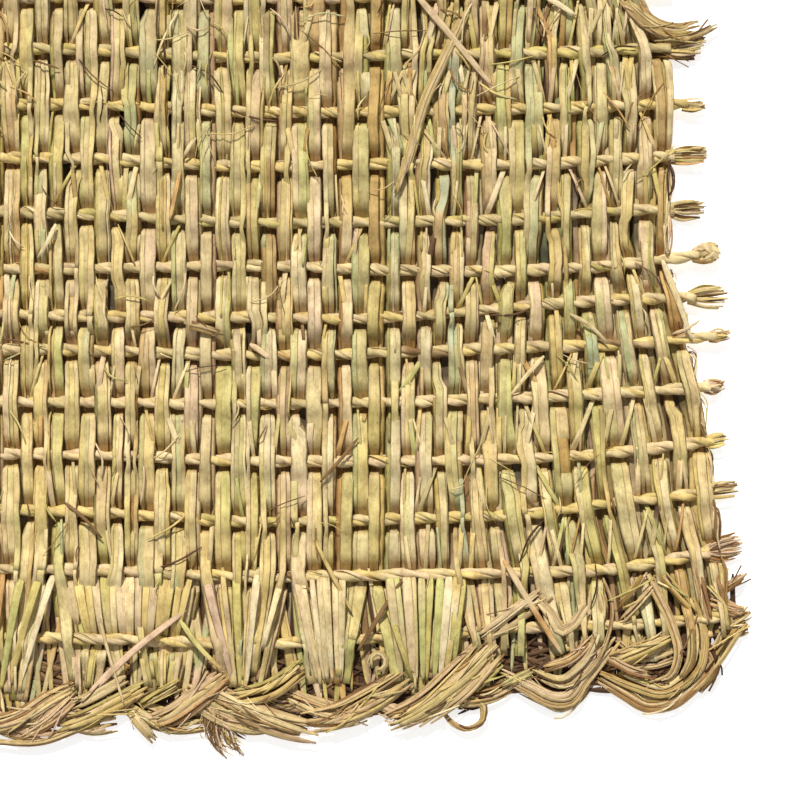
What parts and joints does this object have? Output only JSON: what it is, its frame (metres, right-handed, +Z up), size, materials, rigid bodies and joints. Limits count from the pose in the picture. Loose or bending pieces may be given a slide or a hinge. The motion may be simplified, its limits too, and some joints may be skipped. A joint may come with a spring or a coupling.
{
  "type": "grass mat",
  "caption": "Coarse flat mat of dry grass bundles woven over and under twisted grass cords, with a plaited border at both ends and the cord ends left free at the sides.",
  "frame": {"origin": "on the surface below the middle of the mat's bounding box", "axes": "+X along the cords towards the flared ends, +Y along the bundles towards the even border, +Z up"},
  "size_m": [0.408, 0.4052, 0.0114],
  "materials": {
    "cord": "matt twisted dry grass",
    "bundle": "satin flat dry grass blades",
    "border": "satin plaited dry grass"
  },
  "bodies": {
    "root": {"cord_00": "cord", "cord_01": "cord", "cord_02": "cord", "cord_03": "cord", "cord_04": "cord", "cord_05": "cord", "cord_06": "cord", "cord_07": "cord", "cord_08": "cord", "cord_09": "cord", "cord_10": "cord", "cord_11": "cord", "cord_12": "cord", "bundle_01": "bundle", "bundle_02": "bundle", "bundle_03": "bundle", "bundle_04": "bundle", "bundle_05": "bundle", "bundle_06": "bundle", "bundle_07": "bundle", "bundle_08": "bundle", "bundle_09": "bundle", "bundle_10": "bundle", "bundle_11": "bundle", "bundle_12": "bundle", "bundle_13": "bundle", "bundle_14": "bundle", "bundle_15": "bundle", "bundle_16": "bundle", "bundle_17": "bundle", "bundle_18": "bundle", "bundle_19": "bundle", "bundle_20": "bundle", "bundle_21": "bundle", "bundle_22": "bundle", "bundle_23": "bundle", "bundle_24": "bundle", "bundle_25": "bundle", "bundle_26": "bundle", "bundle_27": "bundle", "bundle_28": "bundle", "bundle_29": "bundle", "bundle_30": "bundle", "bundle_31": "bundle", "bundle_32": "bundle", "bundle_33": "bundle", "bundle_34": "bundle", "bundle_35": "bundle", "bundle_36": "bundle", "bundle_37": "bundle", "bundle_38": "bundle", "bundle_39": "bundle", "bundle_40": "bundle", "bundle_41": "bundle", "bundle_42": "bundle", "bundle_43": "bundle", "bundle_44": "bundle", "border_bottom": "border", "border_top": "border"}
  },
  "joints": []
}
